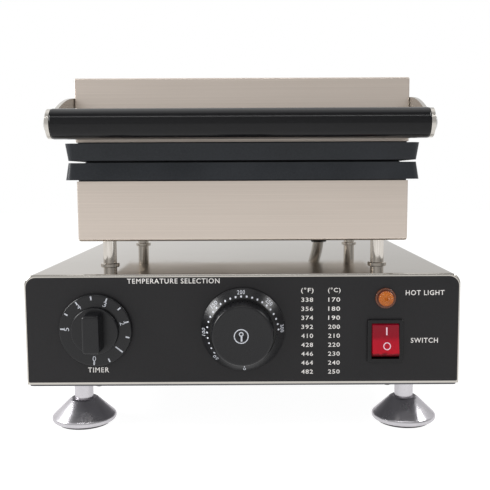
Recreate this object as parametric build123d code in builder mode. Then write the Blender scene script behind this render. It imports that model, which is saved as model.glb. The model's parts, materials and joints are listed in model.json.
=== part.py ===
from build123d import *
from math import cos, pi, radians, sin, sqrt, tan
import os

os.makedirs("parts", exist_ok=True)

# Countertop churro maker: a fluted mould press on four legs over a base casing.
# Millimetres. X runs to the right, -Y is the front, Z is up from the surface it stands on.
# The origin is at the middle of the footprint of the whole object.

# Base casing
base_width = 311.2
base_depth = 290.0
base_height = 81.3
casing_sheet = 1.2
casing_side_bend = 8.0
casing_end_bend = 1.5
casing_flange = 12.0
bottom_sheet = 1.5
bottom_inset = 1.2
bottom_screw_head_height = 2.0
bottom_screw_reach = 3.0
vent_length = 40.0
vent_width = 4.0
vent_pitch = 10.0
vent_count = 8

# Levelling feet
foot_height = 38.0
foot_inset_side = 32.3
foot_offset_front = 35.8
foot_stem_radius = 7.0
foot_shoulder_radius = 10.8
foot_shoulder_height = 18.6
foot_rim_radius = 24.2
foot_rim_height = 4.6
foot_lip_height = 2.0
foot_wall = 1.9
foot_travel = 8.0
pad_radius = 20.5
pad_thickness = 5.0
stud_radius = 4.0
stud_clearance = 0.1
stud_end_height = 13.0
stud_head_across = 13.0
stud_head_height = 5.3

# Control panel and what sits in it
panel_thickness = 0.8
panel_inset_side = 1.5
panel_inset_top = 2.2
panel_inset_bottom = 3.2
panel_corner = 6.8
control_height = 41.8
timer_inset_side = 51.0
thermostat_x = 0.2
switch_inset_side = 53.8
switch_height = 32.8
lamp_height = 63.6

# Knobs and the shafts that they sit on
shaft_radius = 3.0
shaft_clearance = 0.05
shaft_flat = 0.9
shaft_hole_radius = 5.0
knob_gap = 0.6
timer_skirt_radius = 25.9
timer_skirt_thickness = 3.2
timer_boss_radius = 17.0
timer_boss_height = 3.4
timer_grip_length = 28.0
timer_grip_width = 13.4
timer_grip_height = 20.0
dial_skirt_radius = 29.8
dial_skirt_rise = 7.0
dial_skirt_edge = 1.8
dial_cap_radius = 22.0
dial_cap_height = 24.0
dial_dish_depth = 0.6
knurl_count = 40
knurl_radius = 0.9
knob_bore_depth = 12.0
knob_recess_radius = 20.0
knob_recess_depth = 1.8
shaft_seat_depth = 12.0

# Movements behind the panel
timer_body_size = 46.0
timer_body_depth = 30.0
thermostat_body_width = 46.0
thermostat_body_height = 38.0
thermostat_body_depth = 34.0
fixing_spacing = 28.0
fixing_radius = 1.9
fixing_head_radius = 3.4
fixing_head_height = 1.3
fixing_reach = 6.0

# Rocker switch
bezel_width = 25.6
bezel_height = 31.0
bezel_thickness = 2.0
bezel_corner = 1.5
switch_body_width = 21.6
switch_body_height = 27.4
switch_body_depth = 26.0
switch_cutout_clearance = 0.2
rocker_width = 18.8
rocker_height = 23.8
rocker_gap = 0.5
rocker_tilt = 8.0
rocker_swing_gap = 1.0
rocker_bevel = 1.6
rocker_face_dip = 0.5
rocker_face_stand = 2.2
rocker_pin_reach = 1.2
rocker_pivot_depth = 6.0
rocker_pivot_radius = 1.5
rocker_skirt_depth = 5.4
rocker_well_depth = 14.0

# Hot light
lamp_bezel_radius = 7.3
lamp_bezel_thickness = 1.6
lamp_body_radius = 5.9
lamp_body_depth = 18.0
lamp_lens_radius = 6.0
lamp_lens_rise = 2.4
lamp_lens_seat = 1.1

# Legs between base and lower housing
leg_gap = 20.9
leg_radius = 5.2
leg_bore_radius = 2.8
leg_thread_radius = 4.0
leg_thread_length = 8.0
leg_hole_clearance = 0.15
leg_inset_side = 18.0
leg_inset_front = 27.6
leg_inset_rear = 13.4
leg_collar_radius = 7.3
leg_collar_thickness = 1.6
leg_nut_across = 13.0
leg_nut_thickness = 4.0

# Housings round the cooking plates
housing_width = 246.0
housing_depth = 212.0
housing_setback = 29.4
lower_housing_height = 44.7
upper_housing_height = 46.5
housing_sheet = 1.0
housing_edge_bend = 1.2
housing_face_bend = 2.0
housing_flange = 9.0

# Cooking plates: cast, a rim that stands out over the housings, five fluted moulds in each
plate_rim_thickness = 12.55
plate_overhang = 7.2
plate_draft = 2.1
plate_corner = 6.0
plate_seat_inset = 1.0
plate_seat_height = 1.0
plate_land_height = 0.7
plate_land_inset = 10.0
plate_seam = 0.2
mould_count = 5
mould_pitch = 42.0
mould_length = 182.0
mould_end_length = 8.0
mould_end_share = 0.45
mould_ridge_radius = 11.0
mould_valley_radius = 8.6
mould_ridges = 8

# Heaters and what holds them
heater_radius = 3.25
heater_bend = 18.0
heater_run = 160.0
heater_tail = 14.0
press_width = 200.0
press_depth = 172.0
press_sheet = 1.5
clamp_radius = 2.9
clamp_hole_radius = 3.0
clamp_depth = 7.0
clamp_head_radius = 5.0
clamp_head_height = 4.0
clamp_spacing_y = 110.0
plate_screw_radius = 1.9
plate_screw_hole_radius = 2.0
plate_screw_depth = 6.0
plate_screw_head_radius = 3.6
plate_screw_head_height = 2.4
bulb_radius = 3.0
bulb_length = 70.0
capillary_radius = 1.0
capillary_bend = 8.0

# Rear hinges
hinge_reach = 16.6
hinge_inset_side = 23.0
hinge_eye_radius = 6.5
hinge_pin_radius = 3.0
hinge_clearance = 0.05
hinge_sheet = 3.0
hinge_outer_half = 11.0
hinge_side_gap = 0.3
hinge_ear_height = 30.0
hinge_back_low = 17.0
hinge_back_high = 51.0
hinge_pin_head_radius = 4.4
hinge_pin_head_height = 2.0
hinge_pin_tail = 3.4
clip_radius = 5.4
clip_thickness = 1.0
clip_gap = 0.3
hinge_screw_radius = 1.9
hinge_screw_head_radius = 3.5
hinge_screw_head_height = 2.0
hinge_screw_pitch = 18.0
lid_opening = 100.0
stop_gap = 0.3
stop_thickness = 3.0
stop_start = 8.0
stop_length = 6.0

# Handle
grip_radius = 10.0
grip_ahead = 31.0
grip_height = 222.9
grip_end_round = 1.0
grip_side_gap = 0.1
rod_radius = 4.0
rod_clearance = 0.1
arm_thickness = 2.5
arm_eye_radius = 9.7
arm_top_radius = 142.0
arm_apex_behind = 12.3
arm_top_height = 246.1
arm_bottom_height = 216.2
arm_rear_behind = 76.0
arm_corner = 6.0
arm_screw_height = 227.0
arm_screw_spacing = 44.0
arm_screw_first = 22.0
arm_screw_radius = 2.4
arm_screw_head_radius = 4.6
arm_screw_head_height = 2.2
end_screw_radius = 6.0
end_screw_rise = 3.0
end_screw_shank_radius = 2.4
end_screw_length = 14.0

# Conduit from the base to the upper housing
conduit_radius = 5.8
conduit_bore_radius = 4.4
conduit_tail = 8.0
conduit_inset_side = 45.6
conduit_inset_rear = 24.0
conduit_rise = 6.0
conduit_shift = 16.5
conduit_bow = 48.6
conduit_stand = 28.6
conduit_entry_up = 29.4
grommet_collar_radius = 8.2
grommet_neck_radius = 7.0
grommet_collar_height = 1.8
grommet_lip = 1.6

# Cable entry in the rear wall, and the terminal block inside
gland_inset_side = 60.0
gland_height = 60.0
gland_bore_radius = 4.5
gland_body_radius = 12.0
gland_thread_radius = 9.8
gland_reach = 14.0
gland_hex_length = 6.0
gland_thread_length = 9.0
gland_nut_across = 25.0
gland_nut_thickness = 4.0
terminal_width = 58.0
terminal_depth = 22.0
terminal_height = 18.0
terminal_aside = 45.0

# Places worked out from the sizes above
overall_depth = grip_ahead + grip_radius + base_depth + gland_reach
base_front = grip_ahead + grip_radius - overall_depth / 2
base_rear = base_front + base_depth
base_middle = base_front + base_depth / 2
base_floor = foot_height
shell_floor = base_floor + bottom_sheet
base_top = base_floor + base_height
shell_height = base_height - bottom_sheet
panel_face = base_front - panel_thickness
panel_back = base_front + casing_sheet
control_z = base_floor + control_height
switch_z = base_floor + switch_height
lamp_z = base_floor + lamp_height
housing_front = base_front + housing_setback
housing_rear = housing_front + housing_depth
housing_middle = housing_front + housing_depth / 2
lower_floor = base_top + leg_gap
lower_top = lower_floor + lower_housing_height
plate_rim_low = lower_top + plate_seat_height
plate_rim_mate = plate_rim_low + plate_rim_thickness
parting_z = plate_rim_mate + plate_land_height + plate_seam / 2
upper_floor = 2 * parting_z - lower_top
upper_top = upper_floor + upper_housing_height
grip_y = base_front - grip_ahead
knob_back = panel_face - knob_gap
foot_offset_x = base_width / 2 - foot_inset_side
timer_x = timer_inset_side - base_width / 2
switch_x = base_width / 2 - switch_inset_side
leg_offset_x = housing_width / 2 - leg_inset_side
hinge_offset_x = housing_width / 2 - hinge_inset_side
gland_x = gland_inset_side - base_width / 2
terminal_x = gland_x + terminal_aside
conduit_x = housing_width / 2 - conduit_inset_side
conduit_y = base_rear - conduit_inset_rear
conduit_entry_x = conduit_x - conduit_shift
conduit_entry_height = upper_floor + conduit_entry_up
conduit_back_y = housing_rear + conduit_bow
leg_front = housing_front + leg_inset_front
leg_rear = housing_rear - leg_inset_rear
hinge_y = housing_rear + hinge_reach
foot_front = base_front + foot_offset_front
foot_rear = base_rear - foot_offset_front


def plane_facing_front(y):
    """Sketch plane whose normal points to the front, at the given depth."""
    return Plane.XZ.offset(-y)


def casing_block(width, depth, height, side_bend, end_bend, floor, front):
    """Closed block with rolled top side edges and a small bend round its front and back faces."""
    with BuildPart() as block:
        with BuildSketch(plane_facing_front(front)) as section:
            with Locations((0, floor + height / 2)):
                Rectangle(width, height)
            fillet(section.vertices().group_by(Axis.Y)[-1], side_bend)
        extrude(amount=-depth)
        for face in (block.faces().sort_by(Axis.Y)[0], block.faces().sort_by(Axis.Y)[-1]):
            fillet(face.edges().filter_by(lambda edge: edge.center().Z > floor + 0.01), end_bend)
    return block.part


def housing_block(width, depth, height, edge_bend, face_bend, floor):
    """Closed block of a housing: bent upright edges and a bend round its lower face."""
    with BuildPart() as block:
        with BuildSketch(Plane.XY.offset(floor)):
            with Locations((0, housing_middle)):
                RectangleRounded(width, depth, edge_bend)
        extrude(amount=height)
        fillet(block.faces().sort_by(Axis.Z)[0].edges(), face_bend)
    return block.part


def screw_solid(head_radius, head_height, shank_radius, shank_length):
    """Pan head screw: the head rises from the seat at the origin, the shank runs down from it."""
    with BuildPart() as screw:
        with BuildSketch(Plane.XZ) as profile:
            with BuildLine():
                Polyline((0, head_height), (0, -shank_length), (shank_radius, -shank_length), (shank_radius, 0),
                         (head_radius, 0), (head_radius, head_height * 0.4))
                TangentArc((0, head_height), (head_radius, head_height * 0.4), tangent=(1, 0))
            make_face()
        revolve(axis=Axis.Z)
    return screw.part


# Base casing: one folded sheet with a rolled edge along each side, and an inward flange below
casing_outside = casing_block(base_width, base_depth, shell_height, casing_side_bend, casing_end_bend,
                              shell_floor, base_front)
casing_inside = casing_block(base_width - 2 * casing_sheet, base_depth - 2 * casing_sheet,
                             shell_height - 2 * casing_sheet, casing_side_bend - casing_sheet,
                             casing_end_bend - casing_sheet, shell_floor + casing_sheet,
                             base_front + casing_sheet)

leg_spots = [(side * leg_offset_x, y) for side in (-1, 1) for y in (leg_front, leg_rear)]
foot_spots = [(side * foot_offset_x, y) for side in (-1, 1) for y in (foot_front, foot_rear)]
bottom_screw_spots = [(side * leg_offset_x, y) for side in (-1, 1)
                      for y in (base_front + casing_flange * 0.6, base_rear - casing_flange * 0.6)]
fixing_spots = [(x + side * fixing_spacing / 2, control_z) for x in (timer_x, thermostat_x)
                for side in (-1, 1)]

with BuildPart() as base_shell:
    add(casing_outside)
    add(casing_inside, mode=Mode.SUBTRACT)
    with BuildSketch(Plane.XY.offset(shell_floor)):
        with Locations((0, base_middle)):
            RectangleRounded(base_width - 2 * casing_flange, base_depth - 2 * casing_flange, 4)
    extrude(amount=casing_sheet, mode=Mode.SUBTRACT)
    with BuildSketch(Plane.XY.offset(shell_floor)):
        with Locations(*bottom_screw_spots):
            Circle(fixing_radius + 0.1)
    extrude(amount=casing_sheet, mode=Mode.SUBTRACT)
    with BuildSketch(Plane.XY.offset(base_top)):
        with Locations(*leg_spots):
            Circle(leg_thread_radius + leg_hole_clearance)
        with Locations((conduit_x, conduit_y)):
            Circle(grommet_neck_radius + 0.05)
    extrude(amount=-2 * casing_sheet, mode=Mode.SUBTRACT)
    with BuildSketch(plane_facing_front(base_front)):
        with Locations((timer_x, control_z), (thermostat_x, control_z)):
            Circle(shaft_hole_radius)
        with Locations(*fixing_spots):
            Circle(fixing_radius + 0.1)
        with Locations((switch_x, switch_z)):
            Rectangle(switch_body_width + switch_cutout_clearance, switch_body_height + switch_cutout_clearance)
        with Locations((switch_x, lamp_z)):
            Circle(lamp_body_radius + 0.1)
    extrude(amount=-2 * casing_sheet, mode=Mode.SUBTRACT)
    with BuildSketch(plane_facing_front(base_rear)):
        with Locations((gland_x, base_floor + gland_height)):
            Circle(gland_thread_radius + 0.1)
    extrude(amount=2 * casing_sheet, mode=Mode.SUBTRACT)
base_shell.part.label = "base_shell"
export_step(base_shell.part, "parts/base_shell.step")

# Control panel skin over the whole front
panel_width = base_width - 2 * panel_inset_side
panel_height = base_height - panel_inset_top - panel_inset_bottom
panel_z = base_floor + panel_inset_bottom + panel_height / 2
with BuildPart() as control_panel:
    with BuildSketch(plane_facing_front(base_front)) as outline:
        with Locations((0, panel_z)):
            Rectangle(panel_width, panel_height)
        fillet(outline.vertices().group_by(Axis.Y)[-1], panel_corner)
        fillet(outline.vertices().group_by(Axis.Y)[0], 1.0)
        with Locations((timer_x, control_z), (thermostat_x, control_z)):
            Circle(shaft_hole_radius, mode=Mode.SUBTRACT)
        with Locations(*fixing_spots):
            Circle(fixing_radius + 0.1, mode=Mode.SUBTRACT)
        with Locations((switch_x, switch_z)):
            Rectangle(switch_body_width + switch_cutout_clearance,
                      switch_body_height + switch_cutout_clearance, mode=Mode.SUBTRACT)
        with Locations((switch_x, lamp_z)):
            Circle(lamp_body_radius + 0.1, mode=Mode.SUBTRACT)
    extrude(amount=panel_thickness)
control_panel.part.label = "control_panel"
export_step(control_panel.part, "parts/control_panel.step")

# Bottom plate with vents
with BuildPart() as bottom_plate:
    with BuildSketch(Plane.XY.offset(base_floor)):
        with Locations((0, base_middle)):
            RectangleRounded(base_width - 2 * bottom_inset, base_depth - 2 * bottom_inset, 3)
            with GridLocations(0, vent_pitch, 1, vent_count):
                SlotOverall(vent_length, vent_width, mode=Mode.SUBTRACT)
        with Locations(*foot_spots):
            Circle(stud_radius + stud_clearance, mode=Mode.SUBTRACT)
        with Locations(*bottom_screw_spots):
            Circle(fixing_radius + 0.1, mode=Mode.SUBTRACT)
    extrude(amount=bottom_sheet)
bottom_plate.part.label = "bottom_plate"
export_step(bottom_plate.part, "parts/bottom_plate.step")

# Screws of the bottom plate, heads down
bottom_screw = screw_solid(fixing_head_radius, bottom_screw_head_height, fixing_radius,
                           bottom_sheet + casing_sheet + bottom_screw_reach)
with BuildPart() as bottom_plate_screws:
    with Locations(*[Location((x, y, base_floor), (180, 0, 0)) for x, y in bottom_screw_spots]):
        add(bottom_screw)
bottom_plate_screws.part.label = "bottom_plate_screws"
export_step(bottom_plate_screws.part, "parts/bottom_plate_screws.step")

# Studs that the feet screw on
with BuildPart() as foot_studs:
    with BuildSketch(Plane.XY.offset(shell_floor)):
        with Locations(*foot_spots):
            RegularPolygon(stud_head_across / 2, 6, major_radius=False)
    extrude(amount=stud_head_height)
    with BuildSketch(Plane.XY.offset(stud_end_height)):
        with Locations(*foot_spots):
            Circle(stud_radius)
    extrude(amount=shell_floor - stud_end_height)
foot_studs.part.label = "foot_studs"
export_step(foot_studs.part, "parts/foot_studs.step")

# One levelling foot about the Z axis: stem, bell with a rolled rim, hollow below
bore_top = foot_height
with BuildPart() as foot_blank:
    with BuildSketch(Plane.XZ) as foot_section:
        with BuildLine():
            shoulder = (foot_shoulder_radius, foot_shoulder_height)
            rim_top = (foot_rim_radius - 0.9, foot_rim_height + 2.0)
            rim_low = (foot_rim_radius - 1.7, foot_lip_height)
            Polyline((0, foot_lip_height), rim_low)
            ThreePointArc(rim_low, (foot_rim_radius, foot_rim_height), rim_top)
            Polyline(rim_top, shoulder, (foot_shoulder_radius - 1.6, foot_shoulder_height + 0.9),
                     (foot_stem_radius, foot_shoulder_height + 0.9), (foot_stem_radius, foot_height),
                     (0, foot_height), (0, foot_lip_height))
        make_face()
    revolve(axis=Axis.Z)
    with BuildSketch(Plane.XZ):
        with BuildLine():
            seat_radius = pad_radius + 0.1
            Polyline((0, foot_lip_height), (seat_radius, foot_lip_height), (seat_radius, pad_thickness + 0.1),
                     (seat_radius - foot_wall, pad_thickness + 0.1),
                     (foot_shoulder_radius - foot_wall, foot_shoulder_height - foot_wall - 1.2),
                     (0, foot_shoulder_height - foot_wall - 1.2), (0, foot_lip_height))
        make_face()
    revolve(axis=Axis.Z, mode=Mode.SUBTRACT)
    with BuildSketch(Plane.XY.offset(foot_lip_height)):
        Circle(stud_radius + stud_clearance)
    extrude(amount=bore_top - foot_lip_height, mode=Mode.SUBTRACT)

with BuildPart() as pad_blank:
    with BuildSketch():
        Circle(pad_radius)
    extrude(amount=pad_thickness)
    chamfer(pad_blank.faces().sort_by(Axis.Z)[0].edges(), 0.8)

foot_names = {"front_left": (-foot_offset_x, foot_front), "front_right": (foot_offset_x, foot_front),
              "rear_left": (-foot_offset_x, foot_rear), "rear_right": (foot_offset_x, foot_rear)}
for corner, (x, y) in foot_names.items():
    with BuildPart() as foot:
        with Locations((x, y, 0)):
            add(foot_blank.part)
    foot.part.label = "foot_" + corner
    export_step(foot.part, "parts/foot_" + corner + ".step")
    with BuildPart() as foot_pad:
        with Locations((x, y, 0)):
            add(pad_blank.part)
    foot_pad.part.label = "foot_pad_" + corner
    export_step(foot_pad.part, "parts/foot_pad_" + corner + ".step")

# Legs: tubes with a threaded end through each sheet
with BuildPart() as support_legs:
    with BuildSketch(Plane.XY.offset(base_top)):
        with Locations(*leg_spots):
            Circle(leg_radius)
    extrude(amount=leg_gap)
    with BuildSketch(Plane.XY.offset(base_top - leg_thread_length)):
        with Locations(*leg_spots):
            Circle(leg_thread_radius)
    extrude(amount=leg_gap + 2 * leg_thread_length)
    with BuildSketch(Plane.XY.offset(base_top - leg_thread_length)):
        with Locations(*leg_spots):
            Circle(leg_bore_radius)
    extrude(amount=leg_gap + 2 * leg_thread_length, mode=Mode.SUBTRACT)
support_legs.part.label = "support_legs"
export_step(support_legs.part, "parts/support_legs.step")

with BuildPart() as leg_collars:
    with BuildSketch(Plane.XY.offset(base_top)):
        with Locations(*leg_spots):
            Circle(leg_collar_radius)
            Circle(leg_radius + 0.05, mode=Mode.SUBTRACT)
    extrude(amount=leg_collar_thickness)
    chamfer(leg_collars.faces().sort_by(Axis.Z)[-4:].edges().filter_by(
        lambda edge: edge.radius > leg_radius + 1), 0.5)
leg_collars.part.label = "leg_collars"
export_step(leg_collars.part, "parts/leg_collars.step")

with BuildPart() as leg_nuts:
    for floor in (base_top - casing_sheet - leg_nut_thickness, lower_floor + housing_sheet):
        with BuildSketch(Plane.XY.offset(floor)):
            with Locations(*leg_spots):
                RegularPolygon(leg_nut_across / 2, 6, major_radius=False)
                Circle(leg_thread_radius + 0.05, mode=Mode.SUBTRACT)
        extrude(amount=leg_nut_thickness)
leg_nuts.part.label = "leg_nuts"
export_step(leg_nuts.part, "parts/leg_nuts.step")

# Lower housing: a tray with an inward flange that carries the cooking plate
plate_screw_spots = [(sx * (housing_width / 2 - housing_flange * 0.62),
                      housing_middle + sy * (housing_depth / 2 - 24)) for sx in (-1, 1) for sy in (-1, 1)]
opening_width = housing_width - 2 * housing_flange
opening_depth = housing_depth - 2 * housing_flange
hinge_spots_x = (-hinge_offset_x, hinge_offset_x)
lower_screw_heights = [parting_z - (hinge_back_low + hinge_back_high) / 2 + side * hinge_screw_pitch / 2
                       for side in (-1, 1)]
upper_screw_heights = [2 * parting_z - z for z in lower_screw_heights]
lower_block = housing_block(housing_width, housing_depth, lower_housing_height, housing_edge_bend,
                            housing_face_bend, lower_floor)
lower_cavity = housing_block(housing_width - 2 * housing_sheet, housing_depth - 2 * housing_sheet,
                             lower_housing_height - 2 * housing_sheet, housing_edge_bend - 0.9 * housing_sheet,
                             housing_face_bend - 0.9 * housing_sheet, lower_floor + housing_sheet)
with BuildPart() as lower_housing:
    add(lower_block)
    add(lower_cavity, mode=Mode.SUBTRACT)
    with BuildSketch(Plane.XY.offset(lower_top)):
        with Locations((0, housing_middle)):
            RectangleRounded(opening_width, opening_depth, 4)
        with Locations(*plate_screw_spots):
            Circle(plate_screw_hole_radius + 0.2)
    extrude(amount=-2 * housing_sheet, mode=Mode.SUBTRACT)
    with BuildSketch(Plane.XY.offset(lower_floor)):
        with Locations(*leg_spots):
            Circle(leg_thread_radius + leg_hole_clearance)
    extrude(amount=2 * housing_sheet, mode=Mode.SUBTRACT)
    with BuildSketch(plane_facing_front(housing_rear)):
        with Locations(*[(x, z) for x in hinge_spots_x for z in lower_screw_heights]):
            Circle(hinge_screw_radius + 0.1)
    extrude(amount=2 * housing_sheet, mode=Mode.SUBTRACT)
lower_housing.part.label = "lower_housing"
export_step(lower_housing.part, "parts/lower_housing.step")


clamp_spots = [(side * mould_pitch / 2, housing_middle + end * clamp_spacing_y / 2)
               for side in (-1, 1) for end in (-1, 1)]


# Cooking plate with fluted moulds
def star_outline(scale):
    """Corners of the fluted section of a mould, ridge points and valleys in turn."""
    corners = []
    for step in range(2 * mould_ridges):
        radius = mould_ridge_radius if step % 2 == 0 else mould_valley_radius
        angle = step * pi / mould_ridges
        corners.append((scale * radius * cos(angle), scale * radius * sin(angle)))
    return corners


mould_front = housing_middle - mould_length / 2
mould_straight = mould_length - 2 * mould_end_length
with BuildPart() as churro_form:
    with BuildSketch(Plane.XZ.offset(-mould_end_length)):
        Polygon(*star_outline(1.0), align=None)
    extrude(amount=-mould_straight)
    for near, far in ((mould_end_length, 0.0), (mould_length - mould_end_length, mould_length)):
        with BuildSketch(Plane.XZ.offset(-near)):
            Polygon(*star_outline(1.0), align=None)
        with BuildSketch(Plane.XZ.offset(-far)):
            Polygon(*star_outline(mould_end_share), align=None)
        loft(ruled=True)

plate_width = housing_width + 2 * plate_overhang
plate_depth = housing_depth + 2 * plate_overhang
mate_width = plate_width - 2 * plate_draft
mate_depth = plate_depth - 2 * plate_draft
with BuildPart() as lower_plate:
    with BuildSketch(Plane.XY.offset(plate_rim_low)):
        with Locations((0, housing_middle)):
            RectangleRounded(plate_width, plate_depth, plate_corner)
    with BuildSketch(Plane.XY.offset(plate_rim_mate)):
        with Locations((0, housing_middle)):
            RectangleRounded(mate_width, mate_depth, plate_corner - plate_draft)
    loft(ruled=True)
    with BuildSketch(Plane.XY.offset(lower_top)):
        with Locations((0, housing_middle)):
            RectangleRounded(housing_width - 2 * plate_seat_inset, housing_depth - 2 * plate_seat_inset, 2)
    extrude(amount=plate_seat_height)
    with BuildSketch(Plane.XY.offset(plate_rim_mate)):
        with Locations((0, housing_middle)):
            RectangleRounded(mate_width - 2 * plate_land_inset, mate_depth - 2 * plate_land_inset, 4)
    extrude(amount=plate_land_height)
    with Locations((0, mould_front, parting_z)):
        with GridLocations(mould_pitch, 0, mould_count, 1):
            add(churro_form.part, mode=Mode.SUBTRACT)
    with BuildSketch(Plane.XY.offset(lower_top)):
        with Locations(*plate_screw_spots):
            Circle(plate_screw_hole_radius)
        with Locations(*clamp_spots):
            Circle(clamp_hole_radius)
    extrude(amount=clamp_depth, mode=Mode.SUBTRACT)
lower_plate.part.label = "lower_plate"
export_step(lower_plate.part, "parts/lower_plate.step")

parting_plane = Plane.XY.offset(parting_z)
with BuildPart() as upper_plate:
    mirror(lower_plate.part, about=parting_plane)
upper_plate.part.label = "upper_plate"
export_step(upper_plate.part, "parts/upper_plate.step")

# Screws that hold a cooking plate to its housing, from inside
plate_screw = screw_solid(plate_screw_head_radius, plate_screw_head_height, plate_screw_radius,
                          housing_sheet + plate_screw_depth)
with BuildPart() as lower_plate_screws:
    with Locations(*[Location((x, y, lower_top - housing_sheet), (180, 0, 0)) for x, y in plate_screw_spots]):
        add(plate_screw)
lower_plate_screws.part.label = "lower_plate_screws"
export_step(lower_plate_screws.part, "parts/lower_plate_screws.step")

with BuildPart() as upper_plate_screws:
    mirror(lower_plate_screws.part, about=parting_plane)
upper_plate_screws.part.label = "upper_plate_screws"
export_step(upper_plate_screws.part, "parts/upper_plate_screws.step")

# Tubular heater: four runs under the moulds, both ends at the rear
heater_z = lower_top - heater_radius
heater_front = housing_middle - heater_run / 2
heater_rear = housing_middle + heater_run / 2
heater_outer = 2 * mould_pitch
heater_inner = mould_pitch
heater_corners = [(-heater_outer, heater_rear + heater_tail), (-heater_outer, heater_front),
                  (-heater_inner, heater_front), (-heater_inner, heater_rear),
                  (heater_inner, heater_rear), (heater_inner, heater_front),
                  (heater_outer, heater_front), (heater_outer, heater_rear + heater_tail)]
with BuildPart() as lower_heater:
    with BuildLine() as heater_path:
        FilletPolyline(*[(x, y, heater_z) for x, y in heater_corners], radius=heater_bend)
    with BuildSketch(Plane(origin=heater_path.line @ 0, z_dir=heater_path.line % 0)):
        Circle(heater_radius)
    sweep()
lower_heater.part.label = "lower_heater"
export_step(lower_heater.part, "parts/lower_heater.step")

with BuildPart() as upper_heater:
    mirror(lower_heater.part, about=parting_plane)
upper_heater.part.label = "upper_heater"
export_step(upper_heater.part, "parts/upper_heater.step")

# Press plate that holds the heater up against the cooking plate
press_top = lower_top - 2 * heater_radius
capillary_drop_y = housing_middle + bulb_length / 2 + 14
with BuildPart() as lower_press_plate:
    with BuildSketch(Plane.XY.offset(press_top)):
        with Locations((0, housing_middle)):
            RectangleRounded(press_width, press_depth, 5)
        with Locations(*clamp_spots):
            Circle(clamp_radius + 0.3, mode=Mode.SUBTRACT)
        with Locations((0, capillary_drop_y)):
            SlotOverall(30, 7, rotation=90, mode=Mode.SUBTRACT)
    extrude(amount=-press_sheet)
lower_press_plate.part.label = "lower_press_plate"
export_step(lower_press_plate.part, "parts/lower_press_plate.step")

with BuildPart() as upper_press_plate:
    mirror(lower_press_plate.part, about=parting_plane)
upper_press_plate.part.label = "upper_press_plate"
export_step(upper_press_plate.part, "parts/upper_press_plate.step")

clamp_seat = press_top - press_sheet
with BuildPart() as lower_clamp_screws:
    with BuildSketch(Plane.XY.offset(clamp_seat)):
        with Locations(*clamp_spots):
            RegularPolygon(clamp_head_radius, 6, major_radius=False)
    extrude(amount=-clamp_head_height)
    with BuildSketch(Plane.XY.offset(clamp_seat)):
        with Locations(*clamp_spots):
            Circle(clamp_radius)
    extrude(amount=lower_top + clamp_depth - 1 - clamp_seat)
lower_clamp_screws.part.label = "lower_clamp_screws"
export_step(lower_clamp_screws.part, "parts/lower_clamp_screws.step")

with BuildPart() as upper_clamp_screws:
    mirror(lower_clamp_screws.part, about=parting_plane)
upper_clamp_screws.part.label = "upper_clamp_screws"
export_step(upper_clamp_screws.part, "parts/upper_clamp_screws.step")

# Upper housing: a deeper tray, open side down
upper_block = housing_block(housing_width, housing_depth, upper_housing_height, housing_edge_bend,
                            housing_edge_bend, lower_top - upper_housing_height)
upper_cavity = housing_block(housing_width - 2 * housing_sheet, housing_depth - 2 * housing_sheet,
                             upper_housing_height - 2 * housing_sheet, housing_edge_bend - 0.9 * housing_sheet,
                             housing_edge_bend - 0.9 * housing_sheet,
                             lower_top - upper_housing_height + housing_sheet)
arm_screw_spots = [(housing_front + arm_screw_first + step * arm_screw_spacing, arm_screw_height)
                   for step in (0, 1)]
with BuildPart() as upper_housing:
    mirror(upper_block, about=parting_plane)
    mirror(upper_cavity, about=parting_plane, mode=Mode.SUBTRACT)
    with BuildSketch(Plane.XY.offset(upper_floor)):
        with Locations((0, housing_middle)):
            RectangleRounded(opening_width, opening_depth, 4)
        with Locations(*plate_screw_spots):
            Circle(plate_screw_hole_radius + 0.2)
    extrude(amount=2 * housing_sheet, mode=Mode.SUBTRACT)
    with BuildSketch(plane_facing_front(housing_rear)):
        with Locations(*[(x, z) for x in hinge_spots_x for z in upper_screw_heights]):
            Circle(hinge_screw_radius + 0.1)
        with Locations((conduit_entry_x, conduit_entry_height)):
            Circle(grommet_neck_radius + 0.05)
    extrude(amount=2 * housing_sheet, mode=Mode.SUBTRACT)
    with BuildSketch(Plane.YZ.offset(-housing_width / 2)):
        with Locations(*arm_screw_spots):
            Circle(arm_screw_radius + 0.1)
    extrude(amount=housing_width, mode=Mode.SUBTRACT)
upper_housing.part.label = "upper_housing"
export_step(upper_housing.part, "parts/upper_housing.step")

# Rear hinges. A bracket is a back flange with two ears; the lower one also carries the lid's stop
hinge_centre = (hinge_y, parting_z)
ear_rear = hinge_y + hinge_eye_radius


def ear_outline(with_stop):
    """Outline of a hinge ear, depth along the first axis and height along the second."""
    with BuildSketch() as ear:
        with BuildLine():
            Polyline((housing_rear, parting_z - hinge_back_high),
                     (housing_rear + 9, parting_z - hinge_back_high),
                     (ear_rear, parting_z - hinge_ear_height),
                     (ear_rear, parting_z),
                     (hinge_y - hinge_eye_radius, parting_z),
                     (housing_rear + plate_overhang + 1.2, lower_top - 1.5),
                     (housing_rear, parting_z - hinge_back_low),
                     (housing_rear, parting_z - hinge_back_high))
        make_face()
        with Locations(hinge_centre):
            Circle(hinge_eye_radius)
        if with_stop:
            with BuildLine():
                Polyline((ear_rear - 1, parting_z - 5), (ear_rear + 7, parting_z - 8.2),
                         (ear_rear + 6.6, parting_z - 13.4), (ear_rear - 1, parting_z - 22),
                         (ear_rear - 1, parting_z - 5))
            make_face()
        with Locations(hinge_centre):
            Circle(hinge_pin_radius + hinge_clearance, mode=Mode.SUBTRACT)
    return ear.sketch


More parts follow.
